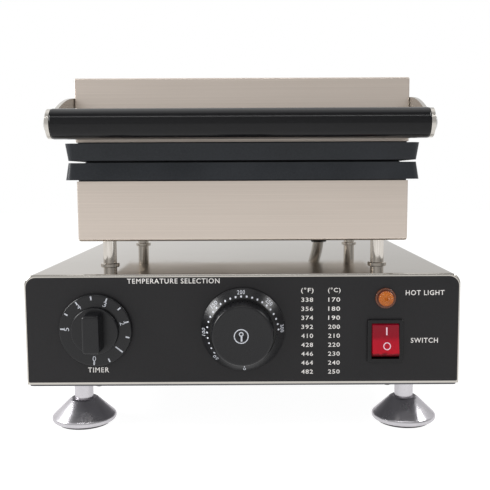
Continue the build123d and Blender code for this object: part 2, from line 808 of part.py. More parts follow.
def bracket_pair(ear, outer_half):
    """Two brackets: each a flange against the housing and two ears, at both hinge places."""
    with BuildPart() as pair:
        for centre in hinge_spots_x:
            for ear_start in (centre - outer_half, centre + outer_half - hinge_sheet):
                with BuildSketch(Plane.YZ.offset(ear_start)):
                    add(ear)
                extrude(amount=hinge_sheet)
            with BuildSketch(plane_facing_front(housing_rear)):
                with Locations((centre, parting_z - (hinge_back_low + hinge_back_high) / 2)):
                    Rectangle(2 * outer_half, hinge_back_high - hinge_back_low)
            extrude(amount=-hinge_sheet)
        with BuildSketch(plane_facing_front(housing_rear)):
            with Locations(*[(x, z) for x in hinge_spots_x for z in lower_screw_heights]):
                Circle(hinge_screw_radius + 0.1)
        extrude(amount=-hinge_sheet, mode=Mode.SUBTRACT)
    return pair.part


upper_outer_half = hinge_outer_half - hinge_sheet - hinge_side_gap
stop_angle = radians(lid_opening)
stop_across = (0, cos(stop_angle), -sin(stop_angle))
with BuildPart() as lower_hinge_brackets:
    add(bracket_pair(ear_outline(True), hinge_outer_half))
    for centre in hinge_spots_x:
        stop_origin = (centre - hinge_outer_half + hinge_sheet / 2, hinge_y, parting_z)
        with BuildSketch(Plane(origin=stop_origin, x_dir=stop_across, z_dir=(1, 0, 0))):
            with Locations((hinge_eye_radius + stop_gap, stop_start)):
                Rectangle(stop_thickness, stop_length, align=(Align.MIN, Align.MIN))
        extrude(amount=2 * hinge_outer_half - hinge_sheet)
lower_hinge_brackets.part.label = "lower_hinge_brackets"
export_step(lower_hinge_brackets.part, "parts/lower_hinge_brackets.step")

with BuildPart() as upper_hinge_brackets:
    mirror(bracket_pair(ear_outline(False), upper_outer_half), about=parting_plane)
upper_hinge_brackets.part.label = "upper_hinge_brackets"
export_step(upper_hinge_brackets.part, "parts/upper_hinge_brackets.step")

# Hinge pins with a head at one end and a clip at the other
with BuildPart() as hinge_pins:
    for centre in hinge_spots_x:
        with BuildSketch(Plane.YZ.offset(centre - hinge_outer_half - hinge_pin_head_height)):
            with Locations(hinge_centre):
                Circle(hinge_pin_head_radius)
        extrude(amount=hinge_pin_head_height)
        with BuildSketch(Plane.YZ.offset(centre - hinge_outer_half)):
            with Locations(hinge_centre):
                Circle(hinge_pin_radius)
        extrude(amount=2 * hinge_outer_half + hinge_pin_tail)
hinge_pins.part.label = "hinge_pins"
export_step(hinge_pins.part, "parts/hinge_pins.step")

with BuildPart() as hinge_clips:
    for centre in hinge_spots_x:
        with BuildSketch(Plane.YZ.offset(centre + hinge_outer_half + clip_gap)):
            with Locations(hinge_centre):
                Circle(clip_radius)
                Circle(hinge_pin_radius + 0.02, mode=Mode.SUBTRACT)
                with Locations((-clip_radius / 2, 0)):
                    Rectangle(clip_radius, hinge_pin_radius * 1.3, mode=Mode.SUBTRACT)
        extrude(amount=clip_thickness)
hinge_clips.part.label = "hinge_clips"
export_step(hinge_clips.part, "parts/hinge_clips.step")

hinge_screw = screw_solid(hinge_screw_head_radius, hinge_screw_head_height, hinge_screw_radius,
                          hinge_sheet + housing_sheet + 4)
with BuildPart() as lower_hinge_screws:
    with Locations(*[Location((x, housing_rear + hinge_sheet, z), (-90, 0, 0))
                     for x in hinge_spots_x for z in lower_screw_heights]):
        add(hinge_screw)
lower_hinge_screws.part.label = "lower_hinge_screws"
export_step(lower_hinge_screws.part, "parts/lower_hinge_screws.step")

with BuildPart() as upper_hinge_screws:
    mirror(lower_hinge_screws.part, about=parting_plane)
upper_hinge_screws.part.label = "upper_hinge_screws"
export_step(upper_hinge_screws.part, "parts/upper_hinge_screws.step")

# Handle arms: flat plates on the sides of the upper housing, curved top edge, round eye at the grip
arm_arc_y = housing_front + arm_apex_behind
arm_arc_z = arm_top_height - arm_top_radius
arm_rear = housing_front + arm_rear_behind
arm_inner = housing_width / 2


def arm_edge_height(y):
    """Height of the curved top edge of a handle arm at a given depth."""
    return arm_arc_z + sqrt(arm_top_radius ** 2 - (y - arm_arc_y) ** 2)


neck_y = grip_y + arm_eye_radius * cos(radians(45))
neck_z = arm_edge_height(neck_y)
rear_z = arm_edge_height(arm_rear)
with BuildSketch() as arm_outline:
    with BuildLine():
        ThreePointArc((neck_y, neck_z), (arm_arc_y, arm_top_height), (arm_rear, rear_z))
        Polyline((arm_rear, rear_z), (arm_rear, arm_bottom_height), (housing_front, arm_bottom_height),
                 (grip_y, grip_height - arm_eye_radius), (grip_y, grip_height), (neck_y, neck_z))
    make_face()
    fillet(arm_outline.vertices().group_by(Axis.X)[-1], arm_corner)
    with Locations((grip_y, grip_height)):
        Circle(arm_eye_radius)
        Circle(end_screw_shank_radius + 0.1, mode=Mode.SUBTRACT)
    with Locations(*arm_screw_spots):
        Circle(arm_screw_radius + 0.1, mode=Mode.SUBTRACT)

for side_name, arm_start in (("left", -arm_inner - arm_thickness), ("right", arm_inner)):
    with BuildPart() as handle_arm:
        with BuildSketch(Plane.YZ.offset(arm_start)):
            add(arm_outline.sketch)
        extrude(amount=arm_thickness)
    handle_arm.part.label = "handle_arm_" + side_name
    export_step(handle_arm.part, "parts/handle_arm_" + side_name + ".step")

arm_outer = arm_inner + arm_thickness
arm_screw = screw_solid(arm_screw_head_radius, arm_screw_head_height, arm_screw_radius,
                        arm_thickness + housing_sheet + 5)
with BuildPart() as arm_screws:
    with Locations(*[Location((side * arm_outer, y, z), (0, side * 90, 0))
                     for side in (-1, 1) for y, z in arm_screw_spots]):
        add(arm_screw)
arm_screws.part.label = "arm_screws"
export_step(arm_screws.part, "parts/arm_screws.step")

with BuildPart() as handle_grip:
    with BuildSketch(Plane.YZ.offset(-arm_inner + grip_side_gap)):
        with Locations((grip_y, grip_height)):
            Circle(grip_radius)
            Circle(rod_radius + rod_clearance, mode=Mode.SUBTRACT)
    extrude(amount=2 * (arm_inner - grip_side_gap))
    fillet(handle_grip.edges().filter_by(GeomType.CIRCLE).group_by(SortBy.RADIUS)[-1], grip_end_round)
handle_grip.part.label = "handle_grip"
export_step(handle_grip.part, "parts/handle_grip.step")

with BuildPart() as handle_rod:
    with BuildSketch(Plane.YZ.offset(-arm_inner)):
        with Locations((grip_y, grip_height)):
            Circle(rod_radius)
    extrude(amount=2 * arm_inner)
    for plane_x, cut in ((-arm_inner, end_screw_length + 1), (arm_inner, -end_screw_length - 1)):
        with BuildSketch(Plane.YZ.offset(plane_x)):
            with Locations((grip_y, grip_height)):
                Circle(end_screw_shank_radius + 0.02)
        extrude(amount=cut, mode=Mode.SUBTRACT)
handle_rod.part.label = "handle_rod"
export_step(handle_rod.part, "parts/handle_rod.step")

end_screw = screw_solid(end_screw_radius, end_screw_rise, end_screw_shank_radius,
                        arm_thickness + end_screw_length)
with BuildPart() as handle_end_screws:
    with Locations(*[Location((side * arm_outer, grip_y, grip_height), (0, side * 90, 0)) for side in (-1, 1)]):
        add(end_screw)
handle_end_screws.part.label = "handle_end_screws"
export_step(handle_end_screws.part, "parts/handle_end_screws.step")

# Movements behind the panel, each with a shaft in a plain bore and two fixing screws
movements = (("timer", timer_x, timer_body_size, timer_body_size, timer_body_depth),
             ("thermostat", thermostat_x, thermostat_body_width, thermostat_body_height, thermostat_body_depth))


def flatted_shaft(x, radius, rear):
    """Shaft along the depth with a flat over the length that sits in the knob."""
    tip = knob_back - knob_bore_depth
    with BuildPart() as shaft:
        with BuildSketch(plane_facing_front(rear)):
            with Locations((x, control_z)):
                Circle(radius)
        extrude(amount=rear - tip)
        with BuildSketch(plane_facing_front(knob_back)):
            with Locations((x, control_z + radius)):
                Rectangle(2 * radius, 2 * shaft_flat)
        extrude(amount=knob_bore_depth, mode=Mode.SUBTRACT)
    return shaft.part


for movement, x, width, height, depth in movements:
    with BuildPart() as body:
        with BuildSketch(plane_facing_front(panel_back)):
            with Locations((x, control_z)):
                RectangleRounded(width, height, 3)
        extrude(amount=-depth)
        with BuildSketch(plane_facing_front(panel_back)):
            with Locations((x, control_z)):
                Circle(shaft_radius + shaft_clearance)
            with Locations(*[(x + side * fixing_spacing / 2, control_z) for side in (-1, 1)]):
                Circle(fixing_radius + 0.02)
        extrude(amount=-shaft_seat_depth, mode=Mode.SUBTRACT)
        with BuildSketch(plane_facing_front(panel_back + depth)):
            with Locations(*[(x + side * width / 4, control_z - height / 3) for side in (-1, 1)]):
                Rectangle(0.8, 6.3)
        extrude(amount=-8)
    body.part.label = movement + "_body"
    export_step(body.part, "parts/" + movement + "_body.step")
    shaft = flatted_shaft(x, shaft_radius, panel_back + shaft_seat_depth - 0.5)
    shaft.label = movement + "_shaft"
    export_step(shaft, "parts/" + movement + "_shaft.step")

fixing_screw = screw_solid(fixing_head_radius, fixing_head_height, fixing_radius,
                           panel_thickness + casing_sheet + fixing_reach)
with BuildPart() as panel_screws:
    with Locations(*[Location((x, panel_face, z), (90, 0, 0)) for x, z in fixing_spots]):
        add(fixing_screw)
panel_screws.part.label = "panel_screws"
export_step(panel_screws.part, "parts/panel_screws.step")

# Timer knob: flat skirt, low boss and an upright grip bar
timer_front = knob_back - timer_skirt_thickness
with BuildPart() as timer_knob:
    with BuildSketch(plane_facing_front(knob_back)):
        with Locations((timer_x, control_z)):
            Circle(timer_skirt_radius)
    extrude(amount=timer_skirt_thickness)
    fillet(timer_knob.faces().sort_by(Axis.Y)[0].edges(), 1.2)
    with BuildSketch(plane_facing_front(timer_front)):
        with Locations((timer_x, control_z)):
            Circle(timer_boss_radius)
    extrude(amount=timer_boss_height, taper=6)
    fillet(timer_knob.faces().sort_by(Axis.Y)[0].edges(), 1.0)
    with BuildSketch(plane_facing_front(timer_front)):
        with Locations((timer_x, control_z)):
            RectangleRounded(timer_grip_width, timer_grip_length, 3.2)
    extrude(amount=timer_grip_height - timer_skirt_thickness - knob_gap, taper=3)
    fillet(timer_knob.faces().sort_by(Axis.Y)[0].edges(), 1.6)
    with BuildSketch(plane_facing_front(knob_back)):
        with Locations((timer_x, control_z)):
            Circle(knob_recess_radius)
            Circle(shaft_radius + 3, mode=Mode.SUBTRACT)
    extrude(amount=knob_recess_depth, mode=Mode.SUBTRACT)
    add(flatted_shaft(timer_x, shaft_radius + shaft_clearance, knob_back), mode=Mode.SUBTRACT)
timer_knob.part.label = "timer_knob"
export_step(timer_knob.part, "parts/timer_knob.step")

# Thermostat knob: conical skirt for the scale and a grooved cap with a slightly dished front
cap_front = dial_cap_height - knob_gap
with BuildPart() as thermostat_knob:
    with BuildSketch(Plane.XZ) as dial_section:
        with BuildLine():
            Polyline((0, 0), (dial_skirt_radius, 0), (dial_skirt_radius, dial_skirt_edge),
                     (dial_cap_radius + 1.6, dial_skirt_edge + dial_skirt_rise),
                     (dial_cap_radius + 1.6, dial_skirt_edge + dial_skirt_rise - 1.4),
                     (dial_cap_radius, dial_skirt_edge + dial_skirt_rise - 1.4),
                     (dial_cap_radius - 0.8, cap_front - 1.6))
            ThreePointArc((dial_cap_radius - 0.8, cap_front - 1.6), (dial_cap_radius - 1.3, cap_front - 0.5),
                          (dial_cap_radius - 2.4, cap_front))
            TangentArc((0, cap_front - dial_dish_depth), (dial_cap_radius - 2.4, cap_front), tangent=(1, 0))
            Line((0, cap_front - dial_dish_depth), (0, 0))
        make_face()
    revolve(axis=Axis.Z)
    with BuildSketch(Plane.XY.offset(dial_skirt_edge + dial_skirt_rise)):
        with PolarLocations(dial_cap_radius + 0.35, knurl_count):
            Circle(knurl_radius)
    extrude(amount=cap_front - dial_skirt_edge - dial_skirt_rise - 2.4, mode=Mode.SUBTRACT)
    with BuildSketch():
        Circle(knob_recess_radius)
        Circle(shaft_radius + 3, mode=Mode.SUBTRACT)
    extrude(amount=knob_recess_depth, mode=Mode.SUBTRACT)
thermostat_place = Location((thermostat_x, knob_back, control_z), (90, 0, 0))
with BuildPart() as thermostat_knob_placed:
    with Locations(thermostat_place):
        add(thermostat_knob.part)
    add(flatted_shaft(thermostat_x, shaft_radius + shaft_clearance, knob_back), mode=Mode.SUBTRACT)
thermostat_knob_placed.part.label = "thermostat_knob"
export_step(thermostat_knob_placed.part, "parts/thermostat_knob.step")

# Rocker switch: a bezel with a body behind it, and a paddle that tips on two side pins
pivot_y = panel_face + rocker_pivot_depth
well_height = rocker_height + 2 * rocker_swing_gap
bezel_face = panel_face - bezel_thickness
with BuildPart() as rocker_switch_body:
    with BuildSketch(plane_facing_front(panel_face)):
        with Locations((switch_x, switch_z)):
            RectangleRounded(bezel_width, bezel_height, bezel_corner)
    extrude(amount=bezel_thickness)
    fillet(rocker_switch_body.faces().sort_by(Axis.Y)[0].edges(), 0.7)
    with BuildSketch(plane_facing_front(panel_face)):
        with Locations((switch_x, switch_z)):
            Rectangle(switch_body_width, switch_body_height)
    extrude(amount=-switch_body_depth)
    with BuildSketch(plane_facing_front(bezel_face)):
        with Locations((switch_x, switch_z)):
            Rectangle(rocker_width + 2 * rocker_gap, well_height)
    extrude(amount=-bezel_thickness - rocker_well_depth, mode=Mode.SUBTRACT)
    with BuildSketch(Plane.YZ.offset(switch_x - switch_body_width / 2)):
        with Locations((pivot_y, switch_z)):
            Circle(rocker_pivot_radius + shaft_clearance)
    extrude(amount=switch_body_width, mode=Mode.SUBTRACT)
    with BuildSketch(plane_facing_front(panel_face + switch_body_depth)):
        with Locations((switch_x, switch_z)):
            with GridLocations(10, 9, 2, 2):
                Rectangle(6.3, 0.8)
    extrude(amount=-8)
rocker_switch_body.part.label = "rocker_switch_body"
export_step(rocker_switch_body.part, "parts/rocker_switch_body.step")

tilt = radians(rocker_tilt)
face_depth = rocker_pivot_depth + bezel_thickness + rocker_face_stand
half_face = rocker_height / 2 - rocker_bevel
half_height = rocker_height / 2
paddle_left = switch_x - rocker_width / 2
with BuildPart() as rocker_paddle:
    with BuildSketch(Plane(origin=(paddle_left, pivot_y, switch_z), x_dir=(0, cos(tilt), -sin(tilt)),
                           z_dir=(1, 0, 0))):
        with BuildLine():
            ThreePointArc((-face_depth, -half_face), (-face_depth + rocker_face_dip, 0), (-face_depth, half_face))
            Polyline((-face_depth, half_face), (-face_depth + rocker_bevel * 1.8, half_height),
                     (rocker_skirt_depth - face_depth + 4, half_height - 0.6), (2.5, 3.0), (2.5, -3.0),
                     (rocker_skirt_depth - face_depth + 4, -half_height + 0.6),
                     (-face_depth + rocker_bevel * 1.8, -half_height), (-face_depth, -half_face))
        make_face()
    extrude(amount=rocker_width)
    fillet(rocker_paddle.edges().filter_by(Axis.X).sort_by(Axis.Y)[:2], 0.6)
    with BuildSketch(Plane.YZ.offset(switch_x - rocker_width / 2 - rocker_pin_reach)):
        with Locations((pivot_y, switch_z)):
            Circle(rocker_pivot_radius)
    extrude(amount=rocker_width + 2 * rocker_pin_reach)
rocker_paddle.part.label = "rocker_paddle"
export_step(rocker_paddle.part, "parts/rocker_paddle.step")

# Hot light: bezel and body in one, lens in front
with BuildPart() as hot_light_body:
    with BuildSketch(plane_facing_front(panel_face)):
        with Locations((switch_x, lamp_z)):
            Circle(lamp_bezel_radius)
    extrude(amount=lamp_bezel_thickness)
    fillet(hot_light_body.faces().sort_by(Axis.Y)[0].edges(), 0.6)
    with BuildSketch(plane_facing_front(panel_face)):
        with Locations((switch_x, lamp_z)):
            Circle(lamp_body_radius)
    extrude(amount=-lamp_body_depth)
    with BuildSketch(plane_facing_front(panel_face - lamp_bezel_thickness)):
        with Locations((switch_x, lamp_z)):
            Circle(lamp_lens_radius + 0.05)
    extrude(amount=-lamp_lens_seat, mode=Mode.SUBTRACT)
    with BuildSketch(plane_facing_front(panel_face)):
        with Locations((switch_x, lamp_z)):
            Circle(lamp_body_radius - 1.2)
    extrude(amount=-lamp_body_depth + 2, mode=Mode.SUBTRACT)
hot_light_body.part.label = "hot_light_body"
export_step(hot_light_body.part, "parts/hot_light_body.step")

lens_back = panel_face - lamp_bezel_thickness + lamp_lens_seat
lens_edge = lamp_lens_seat + 0.9
with BuildPart() as hot_light_lens:
    with BuildSketch(Plane.XZ):
        with BuildLine():
            Polyline((0, lens_edge + lamp_lens_rise), (0, 0), (lamp_lens_radius, 0), (lamp_lens_radius, lens_edge))
            TangentArc((0, lens_edge + lamp_lens_rise), (lamp_lens_radius, lens_edge), tangent=(1, 0))
        make_face()
    revolve(axis=Axis.Z)
with BuildPart() as hot_light_lens_placed:
    with Locations(Location((switch_x, lens_back, lamp_z), (90, 0, 0))):
        add(hot_light_lens.part)
hot_light_lens_placed.part.label = "hot_light_lens"
export_step(hot_light_lens_placed.part, "parts/hot_light_lens.step")

# Bulb under the middle mould and its capillary, which runs down the bore of a rear leg
bulb_z = lower_top - bulb_radius
capillary_z = lower_floor + 21
body_rear = panel_back + thermostat_body_depth
with BuildPart() as thermostat_bulb:
    with BuildSketch(plane_facing_front(housing_middle - bulb_length / 2)):
        with Locations((0, bulb_z)):
            Circle(bulb_radius)
    extrude(amount=-bulb_length)
    with BuildLine() as capillary_path:
        FilletPolyline((0, housing_middle + bulb_length / 2 - 1, bulb_z), (0, capillary_drop_y, bulb_z),
                       (0, capillary_drop_y, capillary_z), (-leg_offset_x, leg_rear, capillary_z),
                       (-leg_offset_x, leg_rear, base_top - 26), (-46, leg_rear - 60, base_top - 30),
                       (thermostat_x - 12, body_rear + 30, control_z + 8),
                       (thermostat_x - 12, body_rear, control_z + 8), radius=capillary_bend)
    with BuildSketch(Plane(origin=capillary_path.line @ 0, z_dir=capillary_path.line % 0)):
        Circle(capillary_radius)
    sweep()
thermostat_bulb.part.label = "thermostat_bulb"
export_step(thermostat_bulb.part, "parts/thermostat_bulb.step")

# Terminal block on the bottom plate
with BuildPart() as terminal_block:
    with BuildSketch(Plane.XY.offset(shell_floor)):
        with Locations((terminal_x, base_rear - 60)):
            Rectangle(terminal_width, terminal_depth)
    extrude(amount=terminal_height)
    with BuildSketch(Plane.XY.offset(shell_floor + terminal_height)):
        with Locations((terminal_x, base_rear - 60)):
            with GridLocations(terminal_width / 5, terminal_depth * 0.55, 5, 2):
                Circle(2.4)
    extrude(amount=-5, mode=Mode.SUBTRACT)
terminal_block.part.label = "terminal_block"
export_step(terminal_block.part, "parts/terminal_block.step")

# Cable gland in the rear wall and its nut inside
gland_z = base_floor + gland_height
with BuildPart() as cable_gland:
    with BuildSketch(plane_facing_front(base_rear)):
        with Locations((gland_x, gland_z)):
            RegularPolygon(gland_body_radius, 6, major_radius=False)
    extrude(amount=-gland_hex_length)
    with BuildSketch(plane_facing_front(base_rear + gland_hex_length)):
        with Locations((gland_x, gland_z)):
            Circle(gland_body_radius - 0.6)
    extrude(amount=-(gland_reach - gland_hex_length))
    fillet(cable_gland.faces().sort_by(Axis.Y)[-1].edges(), 3)
    with BuildSketch(plane_facing_front(base_rear)):
        with Locations((gland_x, gland_z)):
            Circle(gland_thread_radius)
    extrude(amount=gland_thread_length)
    with BuildSketch(plane_facing_front(base_rear + gland_reach)):
        with Locations((gland_x, gland_z)):
            Circle(gland_bore_radius)
    extrude(amount=gland_reach + gland_thread_length, mode=Mode.SUBTRACT)
cable_gland.part.label = "cable_gland"
export_step(cable_gland.part, "parts/cable_gland.step")

with BuildPart() as gland_nut:
    with BuildSketch(plane_facing_front(base_rear - casing_sheet)):
        with Locations((gland_x, gland_z)):
            RegularPolygon(gland_nut_across / 2, 6, major_radius=False)
            Circle(gland_thread_radius + 0.05, mode=Mode.SUBTRACT)
    extrude(amount=gland_nut_thickness)
gland_nut.part.label = "gland_nut"
export_step(gland_nut.part, "parts/gland_nut.step")

# Conduit behind the housings: out of the base top, up past the hinge and into the upper housing
conduit_span = conduit_entry_height - base_top
conduit_shares = ((0.44, 0.08, 0.25), (0.7, 0.62, 0.485), (0.85, 1.0, 0.695), (0.96, 0.83, 0.89))
conduit_points = [(conduit_x, conduit_y, base_top - conduit_tail),
                  (conduit_x, conduit_y, base_top + conduit_rise)]
for across, back, up in conduit_shares:
    conduit_points.append((conduit_x - across * conduit_shift, conduit_y + back * (conduit_back_y - conduit_y),
                           base_top + up * conduit_span))
conduit_points.append((conduit_entry_x, housing_rear + conduit_stand, conduit_entry_height))
conduit_points.append((conduit_entry_x, housing_rear - conduit_tail, conduit_entry_height))


def bend_radii(points, share=0.45):
    """Bend radii that use the given share of the shorter run at each corner."""
    spots = [Vector(*point) for point in points]
    radii = []
    for before, corner, after in zip(spots, spots[1:], spots[2:]):
        run_in = corner - before
        run_out = after - corner
        half_turn = radians(run_in.get_angle(run_out)) / 2
        radii.append(share * min(run_in.length, run_out.length) / tan(half_turn))
    return radii


with BuildPart() as conduit:
    with BuildLine() as conduit_path:
        FilletPolyline(*conduit_points, radius=bend_radii(conduit_points))
    with BuildSketch(Plane(origin=conduit_path.line @ 0, z_dir=conduit_path.line % 0)):
        Circle(conduit_radius)
        Circle(conduit_bore_radius, mode=Mode.SUBTRACT)
    sweep()
conduit.part.label = "conduit"
export_step(conduit.part, "parts/conduit.step")


def grommet_solid(sheet):
    """Ring through a sheet: a low collar outside, a lip inside, its bore round the conduit."""
    with BuildPart() as grommet:
        for radius, low, high in ((grommet_collar_radius, 0, grommet_collar_height),
                                  (grommet_neck_radius, -sheet, 0),
                                  (grommet_collar_radius, -sheet - grommet_lip, -sheet)):
            with BuildSketch(Plane.XY.offset(low)):
                Circle(radius)
            extrude(amount=high - low)
        fillet(grommet.faces().sort_by(Axis.Z)[-1].edges(), 0.8)
        with BuildSketch(Plane.XY.offset(-sheet - grommet_lip)):
            Circle(conduit_radius + 0.05)
        extrude(amount=sheet + grommet_lip + grommet_collar_height, mode=Mode.SUBTRACT)
    return grommet.part


with BuildPart() as conduit_grommet_lower:
    with Locations((conduit_x, conduit_y, base_top)):
        add(grommet_solid(casing_sheet))
conduit_grommet_lower.part.label = "conduit_grommet_lower"
export_step(conduit_grommet_lower.part, "parts/conduit_grommet_lower.step")

with BuildPart() as conduit_grommet_upper:
    with Locations(Location((conduit_entry_x, housing_rear, conduit_entry_height), (-90, 0, 0))):
        add(grommet_solid(housing_sheet))
conduit_grommet_upper.part.label = "conduit_grommet_upper"
export_step(conduit_grommet_upper.part, "parts/conduit_grommet_upper.step")
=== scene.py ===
"""Looks of a countertop churro maker: finishes, print, hot light, conduit, floor, lamps and camera."""
import math

import bmesh
import bpy
from mathutils import Matrix, Vector
from mathutils.bvhtree import BVHTree
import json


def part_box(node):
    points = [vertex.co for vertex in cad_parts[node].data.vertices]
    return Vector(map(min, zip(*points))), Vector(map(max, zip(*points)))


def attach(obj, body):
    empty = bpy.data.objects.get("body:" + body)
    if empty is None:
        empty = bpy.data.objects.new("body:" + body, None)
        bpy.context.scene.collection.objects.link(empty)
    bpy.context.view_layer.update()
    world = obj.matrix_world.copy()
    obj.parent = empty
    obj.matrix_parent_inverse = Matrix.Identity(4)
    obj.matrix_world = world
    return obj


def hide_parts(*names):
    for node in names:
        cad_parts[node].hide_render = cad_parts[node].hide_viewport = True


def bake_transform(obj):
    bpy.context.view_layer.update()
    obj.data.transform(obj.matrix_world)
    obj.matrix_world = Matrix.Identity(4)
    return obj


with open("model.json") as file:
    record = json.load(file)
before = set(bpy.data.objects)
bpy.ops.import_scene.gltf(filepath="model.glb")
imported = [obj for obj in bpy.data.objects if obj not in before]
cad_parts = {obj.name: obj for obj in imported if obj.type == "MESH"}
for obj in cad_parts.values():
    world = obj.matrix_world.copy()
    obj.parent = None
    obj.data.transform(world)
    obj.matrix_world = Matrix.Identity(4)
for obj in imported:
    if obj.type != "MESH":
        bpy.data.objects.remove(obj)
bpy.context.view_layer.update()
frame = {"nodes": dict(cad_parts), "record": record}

MM = 0.001

# Places that the part's source fixes, in millimetres
timer_centre = (-104.6, 79.8)
dial_centre = (0.2, 79.8)
switch_centre = (101.8, 70.8)
lamp_centre = (101.8, 101.6)

# Place along y where the bend at the base's front edge ends
front_bend_end = -129.6

# Print on the panel and the knobs: the ink's lift and thickness, the letters' spacing as a share of the plain
# font's, and how much bolder than it the labels and the table's figures are
print_lift = 0.03
print_thickness = 0.05
letter_spacing = 1.14
label_bold = 0.009
figure_bold = 0.01
label_height = 3.6

# Table of temperatures on the panel
header_width = 8.9
header_height = 4.2
header_z = 107.2
figure_width = 8.4
figure_height = 3.1
fahrenheit_x = 46.1
celsius_x = 65.3
first_row_z = 100.7
row_pitch = 6.54
row_count = 9
first_celsius = 170
celsius_step = 10

# Timer scale: circles of the strokes and the numbers, and its angles in degrees
timer_stroke_circle = 23.4
timer_number_circle = 20.2
first_half_angle = -93.0
half_step_angle = 27.0
half_step_count = 11

# Thermostat scale: circles of the dots and the numbers, and its angles in degrees
dial_scale_centre = (dial_centre[0], dial_centre[1] - 0.4)
dot_circle = 25.2
number_circle = 27.8
first_dot_angle = 216.6
dot_pitch_angle = -8.88
dot_count = 25
first_dot_degrees = 60
dot_step_degrees = 10
numbered_degrees = 50
zero_angle = -87.8

# Lens of the hot light: its facets, its skirt, and the fine waves of its face in radians per metre
lens_rings = 7
lens_sides = 22
lens_dome = 1.5
facet_height = 0.28
lens_cut_radius = 5.35
lens_skirt_share = 0.985
lens_skirt_step = 0.2
lens_color_radius = 6.0
lens_waves = 5200

# Hose of the conduit: its radius and route
conduit_radius = 5.8
conduit_route = [(77.4, 134.5, 112.0), (77.4, 134.5, 125.3), (70.1, 136.4, 150.2), (65.9, 149.4, 179.3),
                 (63.4, 158.5, 205.3), (61.6, 154.4, 229.4), (60.9, 138.5, 243.0), (60.9, 102.5, 243.0)]

# Floor and room: half of the floor's side and its drop in metres, and strengths of their light
floor_half = 3.0
floor_drop = 0.0002
floor_glow = 1.27
floor_glow_share = 0.75
room_light = 0.55


# Shader helpers

def add(tree, kind, inputs=None, **settings):
    """A shader node; inputs gives its sockets numbers or the outputs of other nodes."""
    made = tree.nodes.new("ShaderNode" + kind)
    for name, value in settings.items():
        setattr(made, name, value)
    for name, value in (inputs or {}).items():
        if isinstance(value, bpy.types.NodeSocket):
            tree.links.new(value, made.inputs[name])
        else:
            made.inputs[name].default_value = value
    return made


def ramp(tree, factor, stops):
    """A colour ramp through the given (position, colour) stops."""
    made = add(tree, "ValToRGB", {"Fac": factor})
    elements = made.color_ramp.elements
    while len(elements) < len(stops):
        elements.new(0.5)
    for element, (position, color) in zip(elements, stops):
        element.position = position
        element.color = (*color, 1)
    return made.outputs["Color"]


def spread(tree, factor, low, high):
    """The factor's middle range, 0.3 to 0.7, mapped to the range low to high."""
    made = add(tree, "MapRange", {"Value": factor, "From Min": 0.3, "From Max": 0.7,
                                  "To Min": low, "To Max": high})
    return made.outputs["Result"]


def noise(tree, scale, stretch=(1, 1, 1), detail=3.0):
    """Noise in the object's own space, squeezed along each axis by the stretch."""
    place = add(tree, "TexCoord").outputs["Object"]
    mapped = add(tree, "Mapping", {"Vector": place, "Scale": stretch}).outputs["Vector"]
    made = add(tree, "TexNoise", {"Vector": mapped, "Scale": scale, "Detail": detail, "Roughness": 0.55})
    return made.outputs["Fac"]


def start_material(name, **sockets):
    """A node material, its tree and its main shader, with uniform values set on the shader."""
    made = bpy.data.materials.new(name)
    made.use_nodes = True
    shader = made.node_tree.nodes["Principled BSDF"]
    for socket, value in sockets.items():
        shader.inputs[socket.replace("_", " ")].default_value = value
    return made, made.node_tree, shader


def connect_bump(tree, shader, height, depth, strength=0.6):
    """Relief of the given depth in millimetres."""
    bump = add(tree, "Bump", {"Height": height, "Distance": depth * MM, "Strength": strength})
    tree.links.new(bump.outputs["Normal"], shader.inputs["Normal"])


def grained(name, dark, light, grain, rough, depth=0.02, stretch=(1, 1, 1), **sockets):
    """A surface with one grain that drives its colour, roughness and relief."""
    made, tree, shader = start_material(name, **sockets)
    speck = noise(tree, grain, stretch)
    tree.links.new(ramp(tree, speck, [(0.3, dark), (0.7, light)]), shader.inputs["Base Color"])
    tree.links.new(spread(tree, speck, *rough), shader.inputs["Roughness"])
    connect_bump(tree, shader, speck, depth)
    return made


def brushed(name, dark, light, rough, depth=0.012, along=9.0, across=1300.0):
    """Sheet metal with fine brush lines, level on its walls and along x on its level faces."""
    made, tree, shader = start_material(name, Metallic=1.0)
    wall = noise(tree, 1.0, (along, along, across), 4.0)
    level = noise(tree, 1.0, (along, across, along), 4.0)
    normal = add(tree, "SeparateXYZ", {"Vector": add(tree, "NewGeometry").outputs["Normal"]}).outputs["Z"]
    flat = add(tree, "Math", {0: normal}, operation="ABSOLUTE").outputs[0]
    lines = add(tree, "Mix", {"Factor": flat, "A": wall, "B": level}).outputs["Result"]
    cloud = noise(tree, 7.0, detail=2.0)
    both = add(tree, "Mix", {"Factor": 0.35, "A": lines, "B": cloud}).outputs["Result"]
    tree.links.new(ramp(tree, both, [(0.35, dark), (0.65, light)]), shader.inputs["Base Color"])
    tree.links.new(spread(tree, both, *rough), shader.inputs["Roughness"])
    connect_bump(tree, shader, lines, depth, 0.4)
    return made


# Materials of the CAD nodes, one for each slot of the record

def casting_material():
    """Dark slate coating with a fine orange peel under a broad cloudy sheen."""
    made, tree, shader = start_material("plate_casting", Specular_IOR_Level=0.22)
    peel = noise(tree, 900)
    cloud = noise(tree, 22, detail=2.0)
    both = add(tree, "Mix", {"Factor": 0.5, "A": peel, "B": cloud}).outputs["Result"]
    color = ramp(tree, both, [(0.35, (0.017, 0.019, 0.022)), (0.65, (0.027, 0.03, 0.035))])
    tree.links.new(color, shader.inputs["Base Color"])
    tree.links.new(spread(tree, cloud, 0.36, 0.5), shader.inputs["Roughness"])
    connect_bump(tree, shader, peel, 0.04)
    return made


